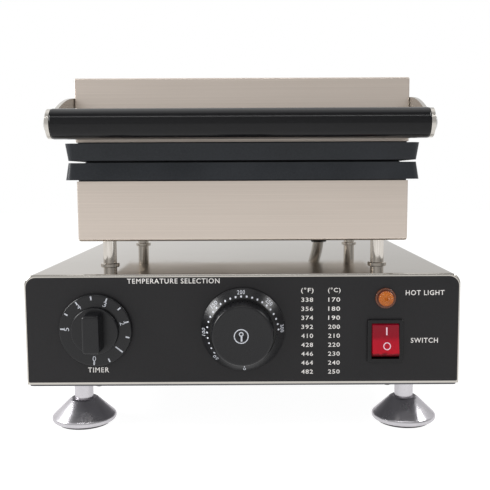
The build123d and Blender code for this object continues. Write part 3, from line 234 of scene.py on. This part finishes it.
def paddle_material():
    """Clear red plastic with a painted glow and painted shade: nearly black along the bottom edge, bright red across
    the middle, darker towards the top.
    """
    # The red emission is a painted glow; the paddle is no lamp.
    made, tree, shader = start_material("paddle_red", Roughness=0.25, Specular_IOR_Level=0.2,
                                        Emission_Color=(0.45, 0.006, 0.02, 1), Emission_Strength=0.12)
    height = add(tree, "SeparateXYZ", {"Vector": add(tree, "TexCoord").outputs["Object"]}).outputs["Z"]
    low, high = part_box("rocker_paddle")
    share = add(tree, "MapRange", {"Value": height, "From Min": low[2], "From Max": high[2]}).outputs["Result"]
    swirl = noise(tree, 260, detail=2.0)
    mixed = add(tree, "Mix", {"Factor": 0.12, "A": share, "B": swirl}).outputs["Result"]
    # Painted shade: nearly black along the lower bevel at the bottom, bright red across the middle, darker towards
    # the top.
    stops = [(0.13, (0.06, 0.001, 0.004)), (0.18, (0.42, 0.006, 0.018)), (0.48, (0.38, 0.006, 0.02)),
             (0.6, (0.22, 0.004, 0.014)), (0.95, (0.18, 0.004, 0.014))]
    tree.links.new(ramp(tree, mixed, stops), shader.inputs["Base Color"])
    connect_bump(tree, shader, swirl, 0.01)
    return made


def base_material():
    """Polished sheet; the narrow bend at its front edge is shaded facet by facet, so that it stays even."""
    made = grained("base_steel", (0.46, 0.436, 0.402), (0.51, 0.485, 0.448), 24, (0.05, 0.1), 0.001,
                   Metallic=1.0, Specular_Tint=(0.78, 0.765, 0.745, 1))
    tree = made.node_tree
    sides = add(tree, "NewGeometry").outputs
    depth = add(tree, "SeparateXYZ", {"Vector": add(tree, "TexCoord").outputs["Object"]}).outputs["Y"]
    bend = add(tree, "Math", {0: depth, 1: front_bend_end * MM}, operation="LESS_THAN").outputs[0]
    rest = add(tree, "Math", {0: 1.0, 1: bend}, operation="SUBTRACT").outputs[0]
    facet = add(tree, "VectorMath", {0: sides["True Normal"], "Scale": bend}, operation="SCALE").outputs["Vector"]
    smooth = add(tree, "VectorMath", {0: sides["Normal"], "Scale": rest}, operation="SCALE").outputs["Vector"]
    normal = add(tree, "VectorMath", {0: facet, 1: smooth}, operation="ADD").outputs["Vector"]
    tree.links.new(normal, tree.nodes["Bump"].inputs["Normal"])
    return made


def lens_material():
    """Amber plastic with a fine grid of cells in its face, a little deeper outward, and a dark red rim."""
    made, tree, shader = start_material("lens_amber", Roughness=0.16, Specular_IOR_Level=0.35,
                                        Emission_Color=(0.5, 0.12, 0.01, 1), Emission_Strength=0.06)
    centre = (lamp_centre[0] * MM, 0, lamp_centre[1] * MM)
    place = add(tree, "TexCoord").outputs["Object"]
    beside = add(tree, "VectorMath", {0: place, 1: centre}, operation="SUBTRACT").outputs["Vector"]
    across = add(tree, "VectorMath", {0: beside, 1: (1, 0, 1)}, operation="MULTIPLY").outputs["Vector"]
    away = add(tree, "VectorMath", {0: across}, operation="LENGTH").outputs["Value"]
    share = add(tree, "MapRange", {"Value": away, "From Max": lens_color_radius * MM}).outputs["Result"]
    cloud = noise(tree, 420, detail=2.0)
    mixed = add(tree, "Mix", {"Factor": 0.04, "A": share, "B": cloud}).outputs["Result"]
    stops = [(0.05, (0.47, 0.13, 0.013)), (0.55, (0.46, 0.125, 0.012)), (0.84, (0.42, 0.105, 0.01)),
             (0.9, (0.07, 0.009, 0.004))]
    tree.links.new(ramp(tree, mixed, stops), shader.inputs["Base Color"])
    grid = (lens_waves, 0, lens_waves)
    phase = add(tree, "VectorMath", {0: across, 1: grid}, operation="MULTIPLY").outputs["Vector"]
    waves = add(tree, "VectorMath", {0: phase}, operation="SINE").outputs["Vector"]
    sides = add(tree, "SeparateXYZ", {"Vector": waves}).outputs
    cells = add(tree, "Math", {0: sides["X"], 1: sides["Z"]}, operation="MULTIPLY").outputs[0]
    connect_bump(tree, shader, cells, 0.12)
    return made


fastener = grained("fastener_steel", (0.50, 0.49, 0.47), (0.62, 0.61, 0.59), 700, (0.25, 0.38), 0.01, Metallic=1.0)
finishes = {
    "casing_steel": brushed("casing_steel", (0.6, 0.528, 0.467), (0.67, 0.592, 0.527), (0.28, 0.38), 0.004,
                            along=6.0, across=1900.0),
    "base_steel": base_material(),
    # Painted shade: the bottom plate's steel is made far darker than bare steel, standing in for the shade under the
    # base.
    "floor_steel": grained("floor_steel", (0.09, 0.09, 0.095), (0.14, 0.14, 0.147), 45, (0.38, 0.5), 0.02,
                           Metallic=1.0),
    "panel_black": grained("panel_black", (0.011, 0.0105, 0.0115), (0.019, 0.0182, 0.0195), 2400, (0.46, 0.6), 0.02,
                           Specular_IOR_Level=0.28),
    "fastener_steel": fastener,
    "leg_steel": grained("leg_steel", (0.5, 0.465, 0.42), (0.7, 0.665, 0.62), 60, (0.06, 0.14), 0.02, (14, 14, 0.5),
                         Metallic=1.0, Specular_Tint=(0.8, 0.78, 0.75, 1)),
    "plate_casting": casting_material(),
    "heater_steel": grained("heater_steel", (0.20, 0.17, 0.15), (0.34, 0.31, 0.28), 160, (0.35, 0.5), 0.02,
                            Metallic=1.0),
    "press_steel": brushed("press_steel", (0.46, 0.45, 0.44), (0.56, 0.55, 0.54), (0.28, 0.4)),
    "bulb_brass": grained("bulb_brass", (0.52, 0.30, 0.14), (0.66, 0.42, 0.22), 300, (0.25, 0.4), 0.01, Metallic=1.0),
    "bracket_steel": brushed("bracket_steel", (0.50, 0.48, 0.46), (0.60, 0.58, 0.56), (0.26, 0.36)),
    "arm_steel": brushed("arm_steel", (0.5, 0.475, 0.44), (0.58, 0.555, 0.515), (0.22, 0.3), 0.006),
    "grip_black": grained("grip_black", (0.003, 0.003, 0.0036), (0.006, 0.006, 0.0072), 500, (0.13, 0.17), 0.0008,
                          Specular_IOR_Level=0.24),
    "end_screw_steel": fastener,
    "movement_plastic": grained("movement_plastic", (0.62, 0.60, 0.54), (0.70, 0.68, 0.62), 400, (0.4, 0.5)),
    "shaft_steel": fastener,
    "knob_black": grained("knob_black", (0.004, 0.004, 0.005), (0.008, 0.008, 0.0095), 1800, (0.26, 0.34), 0.006,
                          Specular_IOR_Level=0.36),
    "switch_black": grained("switch_black", (0.006, 0.006, 0.0065), (0.011, 0.011, 0.012), 1500, (0.26, 0.36), 0.01,
                            Specular_IOR_Level=0.24),
    "paddle_red": paddle_material(),
    "lamp_body": grained("lamp_body", (0.1, 0.026, 0.009), (0.17, 0.05, 0.018), 500, (0.18, 0.26), 0.01),
    "lens_amber": lens_material(),
    "terminal_plastic": grained("terminal_plastic", (0.68, 0.68, 0.65), (0.78, 0.78, 0.75), 400, (0.4, 0.5)),
    "gland_plastic": grained("gland_plastic", (0.016, 0.016, 0.017), (0.026, 0.026, 0.027), 900, (0.4, 0.55)),
    "conduit_grey": grained("conduit_grey", (0.44, 0.42, 0.385), (0.52, 0.5, 0.46), 300, (0.1, 0.16), 0.002,
                            Metallic=0.9),
    "grommet_rubber": grained("grommet_rubber", (0.012, 0.012, 0.012), (0.022, 0.022, 0.022), 700, (0.5, 0.65)),
    "foot_chrome": grained("foot_chrome", (0.52, 0.505, 0.53), (0.6, 0.585, 0.61), 70, (0.23, 0.29), 0.0005,
                           Metallic=1.0, Specular_Tint=(0.85, 0.83, 0.85, 1)),
    "pad_rubber": grained("pad_rubber", (0.012, 0.012, 0.013), (0.024, 0.024, 0.025), 800, (0.55, 0.7), 0.04),
}
for row in frame["record"]["subparts"]:
    carried = frame["nodes"][row["node"]]
    carried.data.materials.clear()
    carried.data.materials.append(finishes[row["material_slot"]])


# Print, and the distances in metres that lay it on a face
ray_start = 0.01
weld_distance = 1e-7


def print_material(name, color):
    """Screen ink with a faint unevenness."""
    low = tuple(0.86 * part for part in color)
    return grained(name, low, color, 1500, (0.45, 0.6), 0.01, Specular_IOR_Level=0.3)


warm_ink = print_material("ink_warm", (0.96, 0.93, 0.9))
cool_ink = print_material("ink_cool", (0.68, 0.7, 0.76))
rocker_ink = print_material("ink_rocker", (0.95, 0.68, 0.78))


def mesh_piece(name, mesh, finish):
    """A new object of the scene with the given mesh and material."""
    piece = bpy.data.objects.new(name, mesh)
    bpy.context.collection.objects.link(piece)
    mesh.materials.append(finish)
    return piece


def text_mesh(words, width, height, bold=0.0):
    """Flat letters as a mesh in the x-z plane, centred on the origin and scaled to a width and height."""
    curve = bpy.data.curves.new("words", "FONT")
    curve.body = words
    curve.offset = bold
    curve.space_character = letter_spacing
    curve.extrude = 0.5
    curve.resolution_u = 3
    holder = bpy.data.objects.new("words", curve)
    bpy.context.collection.objects.link(holder)
    bpy.context.view_layer.update()
    mesh = bpy.data.meshes.new_from_object(holder)
    bpy.data.objects.remove(holder)
    bpy.data.curves.remove(curve)
    across = [vertex.co.x for vertex in mesh.vertices]
    up = [vertex.co.y for vertex in mesh.vertices]
    scale_x = width / (max(across) - min(across))
    scale_z = height / (max(up) - min(up))
    middle_x = (max(across) + min(across)) / 2
    middle_z = (max(up) + min(up)) / 2
    for vertex in mesh.vertices:
        x, z, deep = vertex.co
        vertex.co = ((x - middle_x) * scale_x, -deep * print_thickness, (z - middle_z) * scale_z)
    return mesh


def circle(shape, centre, radius, depth, count, turn=0.0):
    """A ring of vertices about a centre (x, z), all at one depth along y."""
    made = []
    for k in range(count):
        angle = 2 * math.pi * k / count + turn
        made.append(shape.verts.new((centre[0] + radius * math.cos(angle), depth,
                                     centre[1] + radius * math.sin(angle))))
    return made


def bridge(shape, first, second):
    """A band of four-sided faces between two rings."""
    for k in range(len(first)):
        after = (k + 1) % len(first)
        shape.faces.new((first[k], first[after], second[after], second[k]))


def finished(shape, name):
    """The shape as a mesh, with its faces turned outward."""
    bmesh.ops.recalc_face_normals(shape, faces=shape.faces)
    mesh = bpy.data.meshes.new(name)
    shape.to_mesh(mesh)
    shape.free()
    return mesh


def disc_mesh(radius, inner=0.0, count=20):
    """A printed dot, or a ring when it has an inner radius, in the x-z plane."""
    shape = bmesh.new()
    front = circle(shape, (0, 0), radius, -print_thickness / 2, count)
    back = circle(shape, (0, 0), radius, print_thickness / 2, count)
    bridge(shape, front, back)
    if inner:
        inner_front = circle(shape, (0, 0), inner, -print_thickness / 2, count)
        inner_back = circle(shape, (0, 0), inner, print_thickness / 2, count)
        bridge(shape, inner_front, inner_back)
        bridge(shape, front, inner_front)
        bridge(shape, back, inner_back)
    else:
        shape.faces.new(front)
        shape.faces.new(back)
    return finished(shape, "dot")


def bar_mesh(width, height, steps=3):
    """A printed stroke, upright, in the x-z plane, cut across so that it can follow a curved face."""
    shape = bmesh.new()
    layers = []
    for step in range(steps + 1):
        z = height * (step / steps - 0.5)
        corners = ((-0.5, -0.5), (0.5, -0.5), (0.5, 0.5), (-0.5, 0.5))
        layers.append([shape.verts.new((width * x, print_thickness * y, z)) for x, y in corners])
    for low, high in zip(layers, layers[1:]):
        bridge(shape, low, high)
    shape.faces.new(layers[0])
    shape.faces.new(layers[-1])
    return finished(shape, "bar")


def placed(mesh, x, z):
    """The mesh moved to a place on the front."""
    mesh.transform(Matrix.Translation((x, 0, z)))
    return mesh


def turned(mesh, centre, radius, angle):
    """The mesh moved out from a centre by the radius at an angle, its top turned outward."""
    mesh.transform(Matrix.Rotation(math.radians(90 - angle), 4, "Y"))
    return placed(mesh, centre[0] + radius * math.cos(math.radians(angle)),
                  centre[1] + radius * math.sin(math.radians(angle)))


def printed(name, meshes, finish, body, carrier):
    """One piece of print from flat meshes in millimetres, laid on the front of a CAD node."""
    shape = bmesh.new()
    for mesh in meshes:
        shape.from_mesh(mesh)
        bpy.data.meshes.remove(mesh)
    carried = frame["nodes"][carrier]
    tree = BVHTree.FromPolygons([vertex.co[:] for vertex in carried.data.vertices],
                                [face.vertices[:] for face in carried.data.polygons])
    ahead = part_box(carrier)[0][1] - ray_start
    for vertex in shape.verts:
        x, deep, z = vertex.co
        struck = tree.ray_cast(Vector((x * MM, ahead, z * MM)), Vector((0, 1, 0)))[0]
        vertex.co = (x * MM, struck.y + (deep - print_lift - print_thickness / 2) * MM, z * MM)
    bmesh.ops.remove_doubles(shape, verts=shape.verts, dist=weld_distance)
    mesh = bpy.data.meshes.new(name)
    shape.to_mesh(mesh)
    shape.free()
    piece = mesh_piece(name, mesh, finish)
    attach(piece, body)
    return piece


# Labels of the panel (words, width, x, z), then the heads and rows of its table
panel_labels = (("TEMPERATURE SELECTION", 65.6, -49.0, 114.6), ("TIMER", 15.1, -103.7, 50.4),
                ("HOT LIGHT", 27.5, 129.9, 105.4), ("SWITCH", 19.4, 130.0, 70.9))
panel_words = [placed(text_mesh(words, width, label_height, label_bold), x, z)
               for words, width, x, z in panel_labels]
for words, x in (("(°F)", fahrenheit_x), ("(°C)", celsius_x)):
    panel_words.append(placed(text_mesh(words, header_width, header_height, figure_bold), x, header_z))
for row in range(row_count):
    celsius = first_celsius + celsius_step * row
    fahrenheit = round(celsius * 9 / 5 + 32)
    row_z = first_row_z - row_pitch * row
    for value, x in ((fahrenheit, fahrenheit_x), (celsius, celsius_x)):
        panel_words.append(placed(text_mesh(str(value), figure_width, figure_height, figure_bold), x, row_z))
printed("panel_print", panel_words, warm_ink, "base", "control_panel")

# Timer scale: a stroke on each half step, and a number on each whole one
timer_marks = []
for half in range(half_step_count):
    angle = first_half_angle + half_step_angle * half
    timer_marks.append(turned(bar_mesh(1.0, 2.7), timer_centre, timer_stroke_circle, angle))
    if half % 2 == 0:
        number = str(half // 2)
        width = 0.9 if number == "1" else 2.4
        timer_marks.append(turned(text_mesh(number, width, 3.6), timer_centre, timer_number_circle, angle))
printed("timer_print", timer_marks, cool_ink, "timer_dial", "timer_knob")

# Thermostat: its first numbers and zero mark, the ringed figure on its cap, and then a dot every ten degrees from
# 60 to 300 with a number on each fiftieth
dial_marks = [
    turned(text_mesh("50", 3.8, 2.8), dial_centre, 27.4, 225.0),
    turned(text_mesh("0", 1.9, 2.6), dial_centre, 28.0, zero_angle),
    turned(bar_mesh(0.7, 1.3), dial_centre, 25.7, zero_angle),
    placed(disc_mesh(5.1, 4.4, 48), dial_centre[0] - 0.8, dial_centre[1] - 0.2),
    placed(disc_mesh(1.6, 0.9, 24), dial_centre[0] - 0.8, dial_centre[1] + 1.3),
    placed(bar_mesh(1.2, 4.2), dial_centre[0] - 0.6, dial_centre[1] - 1.7),
]
for dot in range(dot_count):
    angle = first_dot_angle + dot_pitch_angle * dot
    dial_marks.append(turned(disc_mesh(0.66), dial_scale_centre, dot_circle, angle))
    degrees = first_dot_degrees + dot_step_degrees * dot
    if degrees % numbered_degrees == 0:
        dial_marks.append(turned(text_mesh(str(degrees), 5.4, 2.5), dial_scale_centre, number_circle, angle))
printed("dial_print", dial_marks, cool_ink, "thermostat_dial", "thermostat_knob")

# Rocker: a stroke above and a ring below
rocker_marks = [
    placed(bar_mesh(0.95, 5.54), switch_centre[0] + 0.7, switch_centre[1] + 7.4),
    placed(disc_mesh(2.7, 2.05, 40), switch_centre[0] + 0.8, switch_centre[1] - 3.1),
]
printed("rocker_print", rocker_marks, rocker_ink, "rocker", "rocker_paddle")


# Hot light

def lens_mesh():
    """The lens cut in small diamond facets on a low dome, with a plain skirt behind them."""
    low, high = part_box("hot_light_lens")
    centre = (lamp_centre[0] * MM, lamp_centre[1] * MM)
    skirt = (high[0] - low[0]) / 2 * lens_skirt_share
    cut = lens_cut_radius * MM
    front = low[1]
    shape = bmesh.new()
    rings = []
    for index in range(1, lens_rings + 1):
        share = index / lens_rings
        depth = front + (facet_height + lens_dome * share ** 2) * MM
        turn = (index % 2) * math.pi / lens_sides
        rings.append(circle(shape, centre, cut * share, depth, lens_sides, turn))
    for index, ring in enumerate(rings[:-1]):
        for k in range(0, lens_sides, 2):
            ring[(k + index // 2) % lens_sides].co.y -= facet_height * MM
    peak = shape.verts.new((centre[0], front, centre[1]))
    for k in range(lens_sides):
        shape.faces.new((peak, rings[0][k], rings[0][(k + 1) % lens_sides]))
    for index in range(lens_rings - 1):
        inner, outer = rings[index], rings[index + 1]
        ahead = 1 if index % 2 == 0 else 0
        for k in range(lens_sides):
            after = (k + 1) % lens_sides
            shape.faces.new((inner[k], inner[after], outer[(k + ahead) % lens_sides]))
            shape.faces.new((outer[(k + ahead) % lens_sides], outer[(k + ahead + 1) % lens_sides], inner[after]))
    edge_turn = (lens_rings % 2) * math.pi / lens_sides
    step_depth = front + (facet_height + lens_dome + lens_skirt_step) * MM
    step = circle(shape, centre, skirt, step_depth, lens_sides, edge_turn)
    end = circle(shape, centre, skirt, high[1], lens_sides, edge_turn)
    bridge(shape, rings[-1], step)
    bridge(shape, step, end)
    shape.faces.new(end)
    return finished(shape, "hot_light_facets")


facets = mesh_piece("hot_light_facets", lens_mesh(), finishes["lens_amber"])
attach(facets, "base")
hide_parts("hot_light_lens")


# Conduit

def hose_mesh():
    """A smooth hose along the route, made as a mesh."""
    curve = bpy.data.curves.new("conduit_hose", "CURVE")
    curve.dimensions = "3D"
    spline = curve.splines.new("NURBS")
    spline.points.add(len(conduit_route) - 1)
    for point, place in zip(spline.points, conduit_route):
        point.co = (*[part * MM for part in place], 1)
    spline.order_u = 3
    spline.use_endpoint_u = True
    curve.resolution_u = 12
    curve.bevel_depth = conduit_radius * MM
    curve.bevel_resolution = 6
    curve.use_fill_caps = True
    holder = bpy.data.objects.new("conduit_hose", curve)
    bpy.context.collection.objects.link(holder)
    bpy.context.view_layer.update()
    mesh = bpy.data.meshes.new_from_object(holder)
    bpy.data.objects.remove(holder)
    mesh.materials.clear()
    for face in mesh.polygons:
        face.use_smooth = True
    return mesh


hose = mesh_piece("conduit_hose", hose_mesh(), finishes["conduit_grey"])
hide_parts("conduit")
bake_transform(hose)


# Floor, world, lamps and camera

def floor_material():
    """Pale floor whose shadow stays soft against the white background."""
    made = bpy.data.materials.new("floor_pale")
    made.use_nodes = True
    tree = made.node_tree
    tree.nodes.clear()
    cloud = noise(tree, 3.0)
    color = ramp(tree, cloud, [(0.3, (0.86, 0.86, 0.86)), (0.7, (0.88, 0.88, 0.88))])
    matt = add(tree, "BsdfDiffuse", {"Color": color}).outputs["BSDF"]
    glow = add(tree, "Emission", {"Color": (1, 1, 1, 1), "Strength": floor_glow}).outputs["Emission"]
    rays = add(tree, "LightPath").outputs
    seen = add(tree, "Math", {0: rays["Is Camera Ray"], 1: rays["Is Transmission Ray"]},
               operation="MAXIMUM").outputs[0]
    seen = add(tree, "Math", {0: seen, 1: rays["Is Glossy Ray"]}, operation="MAXIMUM").outputs[0]
    share = add(tree, "Math", {0: seen, 1: floor_glow_share}, operation="MULTIPLY").outputs[0]
    mixed = add(tree, "MixShader", {0: share, 1: matt, 2: glow}).outputs[0]
    output = add(tree, "OutputMaterial")
    tree.links.new(mixed, output.inputs["Surface"])
    return made


floor_shape = bmesh.new()
bmesh.ops.create_grid(floor_shape, x_segments=8, y_segments=8, size=floor_half)
floor_mesh = bpy.data.meshes.new("floor")
floor_shape.to_mesh(floor_mesh)
floor_shape.free()
floor = mesh_piece("floor", floor_mesh, floor_material())
floor.location.z = -floor_drop


def studio_world():
    """White backdrop behind the object, and a dimmer room in front of it that polished metal shows."""
    world = bpy.data.worlds.new("studio")
    world.use_nodes = True
    tree = world.node_tree
    tree.nodes.clear()
    rays = add(tree, "LightPath").outputs
    toward = add(tree, "SeparateXYZ", {"Vector": add(tree, "TexCoord").outputs["Generated"]}).outputs
    rearward = add(tree, "MapRange", {"Value": toward["Y"], "From Min": -1.0, "From Max": 1.0}).outputs["Result"]
    sideward = add(tree, "MapRange", {"Value": toward["X"], "From Min": -1.0, "From Max": 1.0}).outputs["Result"]
    depth = ramp(tree, rearward, [(0.0, (0.86, 0.86, 0.86)), (0.25, (0.5, 0.5, 0.5)), (0.5, (0.7, 0.7, 0.7)),
                                  (0.62, (1, 1, 1))])
    breadth = ramp(tree, sideward, [(0.36, (1, 1, 1)), (0.5, (0.85, 0.85, 0.85)), (0.64, (0.78, 0.78, 0.78))])
    room = add(tree, "Math", {0: depth, 1: breadth}, operation="MULTIPLY").outputs[0]
    dim = add(tree, "Mix", {"Factor": rays["Is Glossy Ray"], "A": room_light, "B": room}).outputs["Result"]
    seen = add(tree, "Math", {0: rays["Is Camera Ray"], 1: rays["Is Transmission Ray"]},
               operation="MAXIMUM").outputs[0]
    strength = add(tree, "Mix", {"Factor": seen, "A": dim, "B": 1.0}).outputs["Result"]
    background = add(tree, "Background", {"Color": (1, 1, 1, 1), "Strength": strength})
    output = add(tree, "OutputWorld")
    tree.links.new(background.outputs[0], output.inputs["Surface"])
    return world


bpy.context.scene.world = studio_world()


def softbox(name, place, aim, width, height, power):
    """A rectangular area lamp that faces a point."""
    lamp = bpy.data.lights.new(name, "AREA")
    lamp.shape = "RECTANGLE"
    lamp.size = width
    lamp.size_y = height
    lamp.energy = power
    holder = bpy.data.objects.new(name, lamp)
    bpy.context.collection.objects.link(holder)
    holder.location = place
    holder.rotation_euler = (Vector(aim) - Vector(place)).to_track_quat("-Z", "Y").to_euler()


softbox("key_left", (-1.03, -0.2, 0.62), (-0.05, -0.12, 0.1), 0.42, 0.42, 11.0)
softbox("fill_right", (0.92, -0.24, 0.85), (0.05, -0.12, 0.1), 0.3, 0.3, 4.5)
softbox("strip_front", (0.0, -0.92, 1.16), (0, -0.16, 0.22), 1.0, 0.08, 1.6)
softbox("top", (0.0, 0.1, 1.3), (0, 0, 0.1), 0.9, 0.9, 1.6)

# Camera fitted to the photograph: focal length and aim in its own pixels, 490 across
image_width = 490
focal_pixels = 725.0
aim_across = 11.6
aim_down = 1.4

# Camera's place in metres, and its turns in radians
camera_place = (0.00924, -0.642, 0.18957)
pitch_down = 0.0989
roll = -0.0045
heading = -0.0019

camera_data = bpy.data.cameras.new("camera")
camera_data.sensor_width = 36.0
camera_data.lens = focal_pixels / image_width * camera_data.sensor_width
camera_data.shift_x = -aim_across / image_width
camera_data.shift_y = aim_down / image_width
camera = bpy.data.objects.new("camera", camera_data)
bpy.context.collection.objects.link(camera)
camera.matrix_world = (Matrix.Translation(camera_place) @ Matrix.Rotation(heading, 4, "Z")
                       @ Matrix.Rotation(math.pi / 2 - pitch_down, 4, "X") @ Matrix.Rotation(roll, 4, "Z"))
bpy.context.scene.camera = camera
bpy.context.scene.view_settings.view_transform = "Standard"
